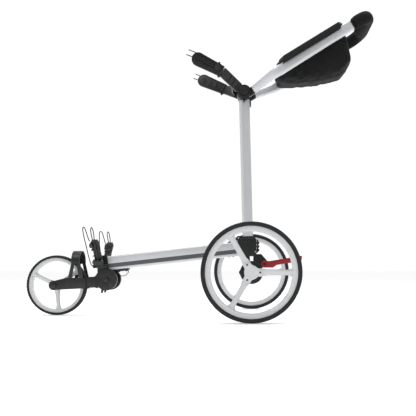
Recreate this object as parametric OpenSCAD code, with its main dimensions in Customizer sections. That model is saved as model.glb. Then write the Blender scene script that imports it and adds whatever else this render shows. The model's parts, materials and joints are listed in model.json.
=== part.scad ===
// Three-wheel golf push trolley: folding frame, bag cradles, console, foot brake.
// The trolley rolls toward -X, its handle is toward +X and +Z is up.
// The origin is on the ground, under the middle of the overall length.

/* [Wheels] */
// Radius of the rear wheels over the tyre
rear_r = 147.5; // [130:0.5:155]
// Radius of the front wheel over the tyre
front_r = 102; // [92:0.5:106]
// Distance between the rear axle and the front axle
wheelbase = 664; // [655:1:672]
// Overall width over the rear tyres
track_w = 620; // [560:2:680]
// Tread width of the rear tyres
tyre_w = 35; // [30:1:40]
// Tread width of the front tyre
front_tyre_w = 30; // [26:1:32]

/* [Main tube] */
// Height of the main tube's section
tube_h = 47; // [44:1:48]
// Width of the main tube's section
tube_w = 42; // [40:1:43]
// Slope of the main tube, rising to the rear
tube_slope = 6.4; // [6:0.1:6.8]
// Wall thickness of the aluminium tubes
wall = 2; // [1.6:0.1:2.4]

/* [Column] */
// Fore-and-aft depth of the column
column_d = 36; // [34:1:37]
// Width of the column
column_w = 38; // [36:1:39]
// Forward lean of the column
lean = 1.5; // [1:0.1:2]

/* [Handle] */
// Rise of the handle above level
handle_rise = 31.5; // [28:0.5:34]
// Height of the oval handle tubes
handle_h = 35; // [32:0.5:35]
// Width of the oval handle tubes
handle_w = 18; // [16:0.5:19]
// Thickness of the foam grip
grip_t = 32; // [30:0.5:34]
// Length of the console
console_l = 248; // [236:1:250]

/* [Motion] */
// Half-thickness left free between moving faces
gap = 0.4; // [0.3:0.05:0.5]
// Radial running clearance of the pins
fit = 0.05; // [0.02:0.01:0.08]

/* [Hidden] */
$fn = 64;

silver = "#e4e7ea";
black = "#26272a";
rubber = "#3a3b3d";
red = "#b3262c";

// Side view places, as [x, z].
rear_axle = [180, rear_r];
front_axle_at = [rear_axle.x - wheelbase, front_r];
tube_front = [-305, 176.5];
tube_l = 443;
column_at = [167.5, 268];
column_l = 463;
head_at = [155.2, 753];
fork_at = [-309, 122];
pedal_at = [224, 174];
fold_in_column = [-32, -5];
foot_h = 9;

// A place in the column's own leaning frame, in side view.
function in_column(p) = [
    column_at.x + p.x * cos(lean) - p.y * sin(lean),
    column_at.y + p.x * sin(lean) + p.y * cos(lean)
];
fold_at = in_column(fold_in_column);

// Handle frame: x runs along the handle, z is square to it.
handle_z = -14;
tube_start = 32;
tube_end = 402;
splay = 30;
flare = 2;
bend_x = 113.8;
bend_y = 79.9;
bend_r = 70;
bend_reach = bend_r * tan((splay - flare) / 2);
tube_end_y = bend_y + (tube_end - bend_x) * tan(flare);
console_x = 131;
tray_z = handle_z + handle_h / 2;
tray_h = 5.5;
lid_h = 5.1;
lid_pin_z = tray_z + 5.5;
lid_pin_x = console_x + 5;
console_w = 206;

// Upper cradle frame: x runs from the head to the wing tips, z is square to it.
cradle_rise = 146.4;

// Wheel details.
axle_r = 6;
bearing_r = 11;
rear_rim_depth = 13.5;
front_rim_depth = 9;
ring_w = 15;
brake_r = 29;
brake_travel = 10;
pin_r = 3;

// ---------- Helpers ----------

// A flat outline drawn in side view (x, z) about p, standing from y1 to y2.
module side(p, y1, y2) {
    translate([p.x, y2, p.y]) rotate([90, 0, 0]) linear_extrude(y2 - y1) children();
}

// A round bar across the trolley. Its seam edge is turned away from what joins it.
module bar(p, r, y1, y2, seam = 0) {
    side(p, y1, y2) rotate(seam) circle(r);
}

// The same outline on both sides, from y1 to y2 away from the middle.
module both(p, y1, y2) {
    side(p, y1, y2) children();
    side(p, -y2, -y1) children();
}

module bars(p, r, y1, y2) {
    both(p, y1, y2) circle(r);
}

module rounded(w, h, r) {
    square([w - 2 * r, h], center = true);
    square([w, h - 2 * r], center = true);
    for (x = [-1, 1], y = [-1, 1]) translate([x * (w / 2 - r), y * (h / 2 - r)]) circle(r);
}

// An oval of two half rounds joined by straight sides, long in y.
module oval(w, h) {
    square([w, h - w], center = true);
    for (y = [-1, 1]) translate([0, y * (h - w) / 2]) circle(w / 2);
}

// A strip that narrows from ra to rb, with round ends.
module taper(a, b, ra, rb) {
    d = b - a;
    t = atan2(d.y, d.x);
    k = acos((ra - rb) / norm(d));
    p = [for (s = [1, -1]) [cos(t + s * k), sin(t + s * k)]];
    polygon([a + ra * p[0], b + rb * p[0], b + rb * p[1], a + ra * p[1]]);
    translate(a) circle(ra);
    translate(b) circle(rb);
}

module flip() {
    mirror([0, 1, 0]) children();
}

module flip_if(yes) {
    mirror([0, yes ? 1 : 0, 0]) children();
}

module in_tube() {
    translate([tube_front.x, 0, tube_front.y]) rotate([0, -tube_slope, 0]) children();
}

module in_column_frame() {
    translate([column_at.x, 0, column_at.y]) rotate([0, -lean, 0]) children();
}

module in_handle() {
    translate([head_at.x, 0, head_at.y]) rotate([0, -handle_rise, 0]) children();
}

module in_cradle() {
    translate([head_at.x, 0, head_at.y]) rotate([0, -cradle_rise, 0]) children();
}

// An extrusion along x with its section drawn in (y, z).
module along_x(x1, x2) {
    translate([x1, 0, 0]) rotate([90, 0, 90]) linear_extrude(x2 - x1) children();
}

// A thin tube of eight sides through a list of points.
function unit(v) = v / norm(v);
function lean_at(p, i) = unit(p[min(i + 1, len(p) - 1)] - p[max(i - 1, 0)]);
function ring(c, t, r, sides) =
    let (u = unit(cross(t, abs(t.y) > 0.9 ? [1, 0, 0] : [0, 1, 0])), v = cross(t, u))
    [for (k = [0 : sides - 1]) c + r * (cos(360 * k / sides) * u + sin(360 * k / sides) * v)];
// Points of a smooth curve through a list, with n steps in each span.
function smooth(p, n) = [
    for (i = [0 : len(p) - 2], k = [0 : n - 1])
        let (
            a = p[max(i - 1, 0)], b = p[i], c = p[i + 1], d = p[min(i + 2, len(p) - 1)],
            t = k / n
        )
        0.5 * ((2 * b) + (c - a) * t + (2 * a - 5 * b + 4 * c - d) * t * t
            + (3 * b - a - 3 * c + d) * t * t * t),
    p[len(p) - 1]
];
module cord(route, r, sides = 8) {
    p = smooth(route, 4);
    n = len(p);
    points = [for (i = [0 : n - 1]) each ring(p[i], lean_at(p, i), r, sides)];
    walls = [for (i = [0 : n - 2], k = [0 : sides - 1])
        let (m = (k + 1) % sides)
        [i * sides + k, i * sides + m, (i + 1) * sides + m, (i + 1) * sides + k]];
    ends = [[for (k = [sides - 1 : -1 : 0]) k], [for (k = [0 : sides - 1]) (n - 1) * sides + k]];
    polyhedron(points, concat(walls, ends));
}

// ---------- Main frame ----------

module tube_section(grow = 0) {
    rounded(tube_w + grow, tube_h + grow, 6);
}

inlay_low = -15.5;
inlay_h = 14;
inlay_deep = 1;

module inlay_strip(x1, x2) {
    for (s = [-1, 1])
        translate([x1, s * (tube_w / 2 - inlay_deep / 2), inlay_low])
            translate([0, -inlay_deep / 2, 0]) cube([x2 - x1, inlay_deep, inlay_h]);
}

module main_tube() {
    color(silver) in_tube() difference() {
        along_x(0, tube_l) tube_section();
        along_x(-1, tube_l + 1) rounded(tube_w - 2 * wall - 2, tube_h - 2 * wall, 4);
        inlay_strip(-1, tube_l + 1);
        translate([tube_l - 60, 0, tube_h / 2 - 8]) cylinder(r = 3, h = 20);
    }
}

module tube_inlays() {
    color(black) in_tube() inlay_strip(0, tube_l);
}

lug_w = 22;
disc_out = 31;
wing_hinge = [36, 167];
wing_x1 = -344;
wing_x2 = -312;

// The lug that carries the fork pivot, the socket block and the ears of the lower cradle.
module front_bracket() {
    color(black) difference() {
        union() {
            in_tube() along_x(1.5, 34) rounded(tube_w - 2 * wall - 2.6, tube_h - 2 * wall - 0.6, 3.7);
            difference() {
                side([0, 0], -lug_w, lug_w) {
                    polygon([[-341, 204], [-341, 150], [-335, 124], [-290, 124], [-289, 140],
                        [-291, 147], [-305, 149.5], [-309, 203]]);
                    translate(fork_at) circle(26);
                }
                in_tube() translate([0, -50, -tube_h / 2 - 0.1])
                    cube([200, 100, tube_h + 0.2]);
            }
            side([0, 0], -27, 27) polygon([[-341, 204], [-341, 161], [-312, 161], [-309, 200]]);
            for (s = [-1, 1]) {
                for (x = [wing_x1 - 6, wing_x2 + 0.5])
                    translate([x, 0, 0]) rotate([90, 0, 90]) linear_extrude(5.5) {
                        translate([s * wing_hinge[0], wing_hinge[1]]) circle(7);
                        translate([s * 28 - 9, 161]) square([18, 12.5]);
                    }
                translate([wing_x1 - 6, s * 24 - 3.5, 161]) cube([12, 7, 12.5]);
                translate([wing_x1 - 3, s * 22 - 3, 173]) cube([4, 6, 30]);
                translate([wing_x1 - 12, s * 22 - 3, 199]) cube([13, 6, 4]);
            }
        }
        bar(fork_at, axle_r, -60, 60);
        for (s = [-1, 1])
            translate([-400, s * wing_hinge[0], wing_hinge[1]]) rotate([0, 90, 0])
                cylinder(r = pin_r, h = 200);
    }
}

module catch_plate() {
    color(black) in_tube() difference() {
        union() {
            translate([20, -15, -tube_h / 2 - 5]) cube([44, 30, 5]);
            for (x = [26, 52]) translate([x, 0, -tube_h / 2 - 6]) rotate([0, 90, 0])
                cylinder(r = 4, h = 6);
        }
        translate([0, 0, -tube_h / 2 - 6.5]) rotate([0, 90, 0]) cylinder(r = bail_r + fit, h = 80);
    }
}

// A wire loop that swings under the catch plate on its own straight side.
bail_r = 1.3;
bail_x = [21, 63];
bail_bend = [[23, -6.5], [23, -14], [36, -24], [48, -24], [61, -14], [61, -6.5]];
module catch_bail() {
    color(black) in_tube() translate([0, 0, -tube_h / 2]) {
        translate([bail_x[0], 0, -6.5]) rotate([0, 90, 0])
            cylinder(r = bail_r, h = bail_x[1] - bail_x[0]);
        for (i = [0 : len(bail_bend) - 2]) {
            a = bail_bend[i];
            d = bail_bend[i + 1] - a;
            translate([a.x, 0, a.y]) rotate([0, atan2(d.x, d.y), 0])
                cylinder(r = bail_r - 0.15, h = norm(d), $fn = 32);
        }
        for (i = [1 : len(bail_bend) - 2]) translate([bail_bend[i].x, 0, bail_bend[i].y])
            sphere(bail_r + 0.1, $fn = 32);
    }
}

module fork_pivot_pin() {
    color("#4a4c50") bar(fork_at, axle_r, -disc_out, disc_out);
    color("#4a4c50") bars(fork_at, 9, disc_out + gap, disc_out + 4);
    color("#4a4c50") bars(fork_at, axle_r, disc_out, disc_out + 2);
}

block_top = -foot_h - gap;
block_w = 23;

// The joint block behind the main tube, with the two ears that carry the column pin.
module rear_block() {
    low = 201;
    color(black) difference() {
        union() {
            in_tube() along_x(tube_l - 40, tube_l + 6)
                rounded(tube_w - 2 * wall - 2.6, tube_h - 2 * wall - 0.6, 3.7);
            difference() {
                side([0, 0], -block_w, block_w)
                    polygon([[136, low], [197, low], [197, 262], [133, 262]]);
                in_tube() translate([tube_l - 60, -60, -60]) cube([60, 120, 120]);
                in_column_frame() translate([-60, -60, block_top]) cube([150, 120, 60]);
            }
            both(fold_at, 12.4, block_w - 1) {
                circle(7);
                translate([-7, -16]) square([13, 15]);
            }
        }
        in_tube() difference() {
            translate([0, -60, -60]) cube([tube_l, 120, 120]);
            along_x(-1, tube_l + 1) rounded(tube_w - 2 * wall - 2.6, tube_h - 2 * wall - 0.6, 4.5);
        }
        bar(fold_at, 7.5, -12.4, 12.4);
        bar(fold_at, pin_r, -60, 60);
        bar(latch_at, pin_r, -60, 60);
        translate([187.4, -16, 209]) cube([21.6, 32, 70]);
        bars([163, 246], 2.5, block_w - 6, block_w + 1);
    }
}

// The plain pins of the column, its latch and the two lower wings.
latch_at = [193.5, 216];
module hinge_pins() {
    color("#8d9094") {
        bar(fold_at, pin_r, -block_w + 1, block_w - 1);
        bar(latch_at, pin_r, -block_w, block_w);
        for (s = [-1, 1]) translate([wing_x1 - 6, s * wing_hinge[0], wing_hinge[1]])
            rotate([0, 90, 0]) cylinder(r = pin_r, h = wing_x2 - wing_x1 + 12);
    }
}

// The neck and cheeks between the joint block and the axle beam.
module axle_bracket() {
    color(black) difference() {
        union() {
            side([0, 0], -19, 19) polygon([[140, 201], [174, 201], [178, 158], [168, 158], [150, 170]]);
            both([0, 0], 8, 17) polygon([[186, 201], [197, 201], [197, 208], [213, 208],
                [231, 188], [231, 166], [206, 158], [186, 158]]);
            side([0, 0], -8, 8) polygon([[186, 201], [197, 201], [197, 208], [205, 208],
                [205, 170], [186, 158]]);
            difference() {
                bar(rear_axle, 22, -19, 19);
                bar(rear_axle, 16, -20, 20);
            }
        }
        bar(rear_axle, 16, -20, 20);
        bar(pedal_at, pin_r + 1, -60, 60);
    }
}

beam_end = 232;
module axle_beam() {
    color(silver) difference() {
        bar(rear_axle, 16, -beam_end, beam_end);
        bars(rear_axle, 13, 150, beam_end + 1);
    }
}

pin_at = [rear_axle.x - brake_r, rear_axle.y];
hub_in = track_w / 2 - tyre_w;

// Black end housings: they hold the wheel shafts and guide the brake pins.
module axle_housings() {
    color(black) difference() {
        union() {
            bars(rear_axle, 22, beam_end - 30, hub_in - 6);
            bars(rear_axle, 13, beam_end - 60, beam_end - 30);
            both([0, 0], beam_end - 2, hub_in - 4) {
                translate(pin_at) circle(8);
                translate([pin_at.x, pin_at.y - 8]) square([20, 16]);
            }
        }
        bars(rear_axle, 16, beam_end - 31, beam_end);
        bars(rear_axle, axle_r, beam_end - 40, hub_in + 1);
        bars(pin_at, 4, beam_end - 3, hub_in);
    }
}

module axle_shafts() {
    color("#9da1a6") bars(rear_axle, axle_r, beam_end - 10, hub_in - 0.5);
    color("#9da1a6") bars(rear_axle, axle_r - fit, hub_in - 0.5, hub_in + 26);
}

module frame_screws() {
    color("#303236") {
        bars([163, 246], 2.5, block_w - 6, block_w - 1);
        bars([206, 192], 3, 17, 19.5);
        in_tube() for (x = [tube_l - 34, tube_l - 20])
            translate([x, 0, -tube_h / 2 - 1.5]) cylinder(r = 3.5, h = 1.5);
    }
}

// ---------- Column and head ----------

// The column's section in (x, y): flat sides with a wide front chamfer.
module column_outline(grow) {
    d = column_d / 2 + grow;
    w = column_w / 2 + grow;
    polygon([[-d, -w + 9], [-d + 8, -w], [d - 3, -w], [d, -w + 3],
        [d, w - 3], [d - 3, w], [-d + 8, w], [-d, w - 9]]);
}

module column_tube() {
    color(silver) in_column_frame() difference() {
        linear_extrude(column_l) column_outline(0);
        translate([0, 0, -1]) linear_extrude(column_l + 2) column_outline(-wall);
    }
}

module column_foot() {
    color(black) difference() {
        union() {
            in_column_frame() {
                translate([-24, -21, -foot_h]) cube([50, 42, foot_h]);
                linear_extrude(38) column_outline(-wall - 0.2);
            }
            bar(fold_at, 6.6, -11.8, 11.8, 150);
            in_column_frame() translate([-32, -11.8, -7]) cube([10, 23.6, 6]);
        }
        bar(fold_at, pin_r + fit, -40, 40);
    }
}

head_w = 22;

// One half of the head: a disc, a plug inside the column's top end and a small tab outside it.
module head_half() {
    color(black) difference() {
        union() {
            difference() {
                union() {
                    bar(head_at, 25, -head_w, 0);
                    in_column_frame() translate([column_d / 2 + 0.2, -13, column_l - 18])
                        cube([4.8, 13, 28]);
                    in_column_frame() translate([-2.5, -head_w, column_l - 9])
                        cube([5, head_w - column_w / 2 - 0.2, 12]);
                }
                in_column_frame() linear_extrude(column_l) column_outline(0);
            }
            intersection() {
                in_column_frame() translate([0, 0, column_l - 40]) linear_extrude(44)
                    column_outline(-wall - 0.2);
                translate([0, -60, 0]) cube([400, 60, 900]);
            }
        }
        bar(head_at, axle_r, -60, 60);
    }
}
module head_left() {
    head_half();
}
module head_right() {
    flip() head_half();
}

knuckle_out = 33.5;
wing_disc_in = knuckle_out + gap;
wing_disc_out = 42;

module head_pin() {
    color("#6d7075") bar(head_at, axle_r, -head_w, head_w);
    color("#6d7075") bars(head_at, axle_r - fit, head_w, wing_disc_out + 2);
}

module head_caps() {
    color("#1f2022") difference() {
        bars(head_at, 15, wing_disc_out + gap, wing_disc_out + 5);
        bars(head_at, axle_r - fit, wing_disc_out, wing_disc_out + 2);
        bars(head_at, 5, wing_disc_out + 4, wing_disc_out + 6);
    }
}

// ---------- Handle ----------

// Stations along the left handle tube's middle line, as [x, y, heading, height, middle z].
bend_steps = 6;
start_h = 26;
start_z = -10.5;
tube_run = [
    [tube_start, (bend_x - tube_start) * tan(splay) - bend_y, -splay, start_h, start_z],
    for (k = [0 : bend_steps])
        let (
            a = -splay + (splay - flare) * k / bend_steps,
            c = [bend_x - bend_reach * cos(splay), bend_reach * sin(splay) - bend_y]
                + bend_r * [sin(splay), cos(splay)],
            t = 0.55 + 0.45 * k / bend_steps
        )
        [c.x + bend_r * sin(a), c.y - bend_r * cos(a), a,
            start_h + (handle_h - start_h) * t, start_z + (handle_z - start_z) * t],
    [tube_end, -tube_end_y, -flare, handle_h, handle_z],
];
oval_sides = 32;
function oval_point(w, h, k) =
    let (a = 360 * (k + 0.5) / oval_sides)
    [w / 2 * cos(a), w / 2 * sin(a) + (sin(a) > 0 ? 1 : -1) * (h - w) / 2];

// A hollow oval tube swept through the stations.
module handle_tube() {
    thin = [0, 2 * wall];
    n = len(tube_run);
    m = oval_sides;
    points = [for (j = [0, 1], t = tube_run, k = [0 : m - 1])
        let (q = oval_point(handle_w - thin[j], t[3] - thin[j], k))
        [t[0] - q.x * sin(t[2]), t[1] + q.x * cos(t[2]), t[4] + q.y]];
    outside = [for (i = [0 : n - 2], k = [0 : m - 1])
        let (l = (k + 1) % m) [i * m + k, i * m + l, (i + 1) * m + l, (i + 1) * m + k]];
    inside = [for (f = outside) [for (c = [3 : -1 : 0]) f[c] + n * m]];
    front_end = [for (k = [0 : m - 1])
        let (l = (k + 1) % m) [k, n * m + k, n * m + l, l]];
    back_end = [for (k = [0 : m - 1])
        let (l = (k + 1) % m, b = (n - 1) * m) [b + l, n * m + b + l, n * m + b + k, b + k]];
    color(silver) in_handle() polyhedron(points, concat(outside, inside, front_end, back_end));
}
module handle_tube_left() {
    handle_tube();
}
module handle_tube_right() {
    flip() handle_tube();
}

// A knuckle: a disc on the head pin with a tongue that plugs the tube's start.
module knuckle() {
    color(black) difference() {
        union() {
            bar(head_at, 24, -knuckle_out, -head_w - gap, 200);
            in_handle() intersection() {
                translate([14, 0.5 - knuckle_out, start_z - start_h / 2 + 0.5])
                    cube([16, knuckle_out - head_w - gap - 1, start_h - 1]);
                translate([0, -60, -29]) cube([60, 60, 40]);
            }
            in_handle() translate([tube_run[0].x, tube_run[0].y, start_z])
                rotate([0, 0, -splay]) along_x(-8, 26)
                    oval(handle_w - 2 * wall - 0.4, start_h - 2 * wall - 0.4);
        }
        bar(head_at, axle_r, -60, 60);
    }
}
module knuckle_left() {
    knuckle();
}
module knuckle_right() {
    flip() knuckle();
}

flange_low = -8.5;
flange_t = 3.6;
tub = [20, 62, -10, 2.5];

// The tray lies on both tubes, with a lip down their outsides and a divided tub between them.
module console_tray() {
    w = console_w / 2;
    x2 = console_x + console_l;
    color(black) in_handle() difference() {
        union() {
            translate([0, 0, tray_z]) linear_extrude(tray_h)
                polygon([[console_x, -w + 24], [console_x + 24, -w], [x2 - 12, -w],
                    [x2, -w + 12], [x2, w - 12], [x2 - 12, w], [console_x + 24, w],
                    [console_x, w - 24]]);
            for (s = [-1, 1]) translate([0, s * (w - flange_t / 2) - flange_t / 2, 0])
                rotate([90, 0, 0]) translate([0, 0, -flange_t]) linear_extrude(flange_t)
                    polygon([[console_x + 26, tray_z + 1], [console_x + 12, flange_low],
                        [x2 - 18, flange_low], [x2 - 13, flange_low + 5], [x2 - 13, tray_z + 1]]);
            translate([console_x + tub[0], -tub[1], tub[2]])
                cube([console_l - 2 * tub[0], 2 * tub[1], tray_z - tub[2] + 1]);
        }
        for (x = [0, 1]) translate([console_x + tub[0] + tub[3] + x * (console_l / 2 - tub[0] - 1),
                tub[3] - tub[1], tub[2] + tub[3]])
            cube([console_l / 2 - tub[0] - tub[3] - 1.5, 2 * (tub[1] - tub[3]), 40]);
        translate([console_x - 1, -40, lid_pin_z - 2.9]) cube([12, 80, 20]);
    }
    color(black) in_handle() translate([lid_pin_x, 41, lid_pin_z]) rotate([90, 0, 0])
        cylinder(r = 1.5, h = 82);
}

// The lid turns on a barrel at the front edge of the tray, with a raised strap loop behind.
module console_lid() {
    w = console_w / 2 - 2;
    x2 = console_x + console_l;
    top = tray_z + tray_h + gap + lid_h;
    color("#1d1e20") in_handle() {
        difference() {
            translate([0, 0, tray_z + tray_h + gap]) linear_extrude(lid_h)
                polygon([[console_x + 12, -w + 18], [console_x + 28, -w],
                    [x2 - 12, -w], [x2 - 2, -w + 12], [x2 - 2, w - 12], [x2 - 12, w],
                    [console_x + 28, w], [console_x + 12, w - 18]]);
            translate([console_x + 34, -w + 8, tray_z])
                cube([console_l - 56, 2 * w - 16, tray_h + lid_h - 2.5]);
        }
        difference() {
            translate([x2 - 42, -16, top - 1]) cube([32, 32, 9.5]);
            translate([x2 - 38.5, -20, top]) cube([25, 40, 6]);
        }
        difference() {
            union() {
                translate([lid_pin_x, 39, lid_pin_z]) rotate([90, 0, 0]) cylinder(r = 2.5, h = 78);
                translate([lid_pin_x - 2, -39, lid_pin_z]) cube([4, 78, 5]);
                translate([lid_pin_x - 2, -39, lid_pin_z + 1.8]) cube([14, 78, 3.2]);
            }
            translate([lid_pin_x, 50, lid_pin_z]) rotate([90, 0, 0])
                cylinder(r = 1.5 + fit, h = 100);
        }
    }
}

grip_y = 86;
grip_corner = 46;
grip_x2 = 494;

grip_h = 43;
grip_z = -13;

// A bar bent through the grip's bow, from x1 on, with its section given as a child in (x, z).
module grip_bow(x1) {
    straight = grip_x2 - grip_t / 2 - grip_corner;
    for (s = [-1, 1]) {
        translate([x1, s * grip_y, 0]) rotate([90, 0, 90]) linear_extrude(straight - x1) children();
        translate([straight, s * (grip_y - grip_corner), 0]) rotate([0, 0, s > 0 ? 0 : -90])
            rotate_extrude(angle = 90, $fn = 96) translate([grip_corner, 0]) children();
    }
    translate([straight + grip_corner, grip_y - grip_corner, 0]) rotate([90, 0, 0])
        linear_extrude(2 * (grip_y - grip_corner)) children();
}

module grip_core() {
    color("#333437") in_handle() {
        translate([0, 0, handle_z]) grip_bow(tube_end) circle(8);
        for (s = [-1, 1]) flip_if(s > 0) translate([tube_end, -tube_end_y, handle_z])
            rotate([0, 0, -flare]) along_x(-30, 5)
                oval(handle_w - 2 * wall - 0.4, handle_h - 2 * wall - 0.4);
    }
}

// The foam's section: an upright egg of straight facets.
module foam_section() {
    polygon([for (k = [0 : oval_sides - 1])
        let (a = 360 * (k + 0.5) / oval_sides)
        [grip_t / 2 * cos(a), grip_z + grip_h / 2 * sin(a)]]);
}

module grip_foam() {
    color("#161617") in_handle() difference() {
        union() {
            grip_bow(tube_end + 6) foam_section();
            translate([grip_x2 - grip_t / 2 - 24, grip_y - grip_corner, 0]) rotate([90, 0, 0])
                linear_extrude(2 * (grip_y - grip_corner)) foam_section();
        }
        translate([0, 0, handle_z]) grip_bow(tube_end) circle(8);
    }
}

// The closed fabric pouch that hangs between and below the tubes.
module pouch() {
    color("#19191a") in_handle() hull() for (s = [-1, 1]) {
        translate([126, s * 52, -20.5]) sphere(9, $fn = 24);
        translate([370, s * 66, -20]) sphere(8.5, $fn = 24);
        translate([158, s * 34, -44]) sphere(11, $fn = 24);
        translate([232, s * 34, -76]) sphere(16, $fn = 24);
        translate([306, s * 34, -100]) sphere(18, $fn = 24);
        translate([341, s * 46, -88]) sphere(18, $fn = 24);
    }
}

// ---------- Upper bag cradle ----------

arm_size = [80, 8, 32];
arm_splay = 40;
module cradle_arm() {
    translate([22, -wing_disc_in - 3, 0]) rotate([0, 0, -arm_splay])
        translate([0, -arm_size.y / 2, -arm_size.z / 2]) children();
}

// Side discs on the head pin, arms that splay, and the bridge between them.
module upper_base() {
    color(black) difference() {
        union() {
            both(head_at, wing_disc_in, wing_disc_out) rotate(-40) circle(21);
            in_cradle() for (s = [-1, 1]) flip_if(s > 0) {
                translate([12, -wing_disc_out + 0.6, -14])
                    cube([18, wing_disc_out - wing_disc_in - 1, 28]);
                cradle_arm() difference() {
                    cube(arm_size);
                    for (x = [10, 28, 46]) translate([x, -1, 5]) cube([12, 3.5, 22]);
                }
            }
            in_cradle() difference() {
                translate([32, -44, -12]) cube([12, 88, 24]);
                translate([30, -26, -4]) cube([8, 52, 30]);
            }
        }
        bars(head_at, axle_r, 20, 60);
        bar(head_at, 25.8, -wing_disc_in, wing_disc_in);
    }
}

wing_root = [86, 89];
wing_splay = 7;
wing_dip = 8.6;
module wing_place() {
    translate([wing_root.x, -wing_root.y, 0]) rotate([0, 0, -wing_splay]) rotate([0, -wing_dip, 0])
        children();
}

// A rounded paddle with two long ribs, a buckle and three rubber bumps on its inner face.
module upper_wing() {
    in_cradle() difference() {
        wing_place() difference() {
            union() {
                color(black) rotate([90, 0, 0]) linear_extrude(7) taper([6, 0], [84, 0], 19, 22);
                for (z = [-9, 8]) translate([8, -9, z - 1.5]) cube([88, 2.2, 3]);
            }
            translate([-20, -20, -30]) cube([18, 40, 60]);
        }
        cradle_arm() cube(arm_size);
    }
    in_cradle() wing_place() {
        color("#2e2f32") {
            translate([10, -15, -17]) cube([18, 8, 22]);
            translate([6, -13, -10]) cube([4.5, 6, 14]);
        }
        color(rubber) for (x = [38, 60, 82]) translate([x, 0, 0]) rotate([-90, 0, 0])
            cylinder(r1 = 9, r2 = 7, h = 5);
    }
}
module upper_wing_left() {
    upper_wing();
}
module upper_wing_right() {
    flip() upper_wing();
}

// An elastic that runs along both grooves, round the buckle and past the tip.
upper_route = [
    [124, -5, -12], [116, -7.4, -12.6], [106, -9, -13], [92, -10, -13], [60, -11, -13],
    [34, -12, -14], [30.6, -12.4, -5.5], [34, -12, 3], [60, -11, 4], [92, -10, 4],
    [106, -9, 4], [116, -7.4, 4.4], [124, -5, 5],
];
module upper_cord() {
    color("#141414") in_cradle() wing_place()
        cord([for (p = upper_route) [p.x, p.y - 1.6, p.z]], 1.5);
}
module upper_cord_left() {
    upper_cord();
}
module upper_cord_right() {
    flip() upper_cord();
}

// ---------- Lower bag cradle ----------

wing_tilt = 37;
wing_long = 106;

// A ridged wing on a pin that lies along the trolley, with its buckle and pad.
module lower_wing() {
    mid = (wing_x1 + wing_x2) / 2;
    translate([mid, -wing_hinge[0], wing_hinge[1]]) rotate([wing_tilt, 0, 0]) {
        color(black) difference() {
            union() {
                rotate([0, 90, 0]) translate([0, 0, -15.5]) cylinder(r = 6.5, h = 31);
                rotate([90, 0, 0]) translate([0, 0, -3]) linear_extrude(6)
                    polygon([[-13, 4], [13, 4], [12, 60], [14, wing_long - 12],
                        [9, wing_long], [-9, wing_long], [-18, wing_long - 14], [-12, 60]]);
                translate([-2, -8, 8]) cube([4, 6, wing_long - 16]);
                translate([-19, -9, wing_long - 26]) cube([11, 7, 16]);
            }
            rotate([0, 90, 0]) translate([0, 0, -40]) cylinder(r = pin_r + fit, h = 80);
        }
        color("#2e2f32") translate([-18, -13, 11]) cube([33, 9, 20]);
        color(rubber) for (z = [44, 66, 88]) translate([0, 3, z]) rotate([-90, 0, 0])
            cylinder(r1 = 7, r2 = 5, h = 4);
    }
}
module lower_wing_left() {
    lower_wing();
}
module lower_wing_right() {
    flip() lower_wing();
}

long_loop = [
    [-345, -98, 247], [-350, -102, 262], [-358, -103, 287], [-363, -102, 292], [-367, -99, 287],
    [-365, -92, 262], [-361, -80, 231], [-356, -66, 193], [-351, -55, 171], [-342, -43, 161.6],
];
small_loop = [
    [-335, -101.6, 252.9], [-338, -102.6, 267], [-340, -103, 284], [-337, -104, 291],
    [-333, -104, 284], [-330, -102.6, 267], [-329, -101.6, 252.9],
];
module lower_cord_left() {
    color("#141414") cord(long_loop, 1.5);
}
module lower_cord_right() {
    color("#141414") flip() cord(long_loop, 1.5);
}
module lower_loop_left() {
    color("#141414") cord(small_loop, 1.5);
}
module lower_loop_right() {
    color("#141414") flip() cord(small_loop, 1.5);
}

// ---------- Front fork ----------

arm_in = 24;
arm_out = 37;

// One half of the fork: the arm beside the wheel, the middle block and the pivot disc.
module fork_half() {
    color(black) difference() {
        union() {
            side([0, 0], -arm_out, -arm_in) {
                translate(front_axle_at) circle(16);
                polygon([front_axle_at + [0, 15], [-445, leg_foot_z], [-376, leg_foot_z],
                    [-376, 92], [-404, 91], front_axle_at - [0, 15]]);
            }
            side([0, 0], -disc_out, -gap) polygon([[-376, leg_foot_z], [-376, 91], [-370, 91],
                [-362, 96], [-352, 98], [-350, 130], [-362, 131]]);
            side([0, 0], -disc_out, -lug_w - gap) {
                polygon([[-398, 127], [-398, 92], [-374, 91], [-366, 95], [-356, 97],
                    [-338, 92], [-330, 145], [-350, 131], [-362, 131]]);
                translate(fork_at) circle(37);
            }
        }
        bar(fork_at, 29, -lug_w - gap, 0);
        bar(front_axle_at, 5, -60, 60);
        bar(fork_at, axle_r + fit, -60, 60);
        bar([-323, 90], 2, -28, 0);
    }
}
module fork_left() {
    fork_half();
}
module fork_right() {
    flip() fork_half();
}

module front_axle() {
    color("#9da1a6") {
        bar(front_axle_at, 5 - fit, -19, 19);
        bars(front_axle_at, 5, 19, arm_out);
        bars(front_axle_at, 9, arm_out, arm_out + 4);
    }
}

// A two-pronged lever between the pivot discs that frees the fork.
module fork_release() {
    color("#2e2f32") {
        both([-323, 90], 18.8, 21.8) taper([0, 0], [-3, -12], 4.5, 3);
        bar([-323, 90], 2 - fit, -26, 26);
    }
}

rest_z = 219;
rest_x = -411;
rest_r = 37;
rest_t = 4;
leg_foot_z = 127;

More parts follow.
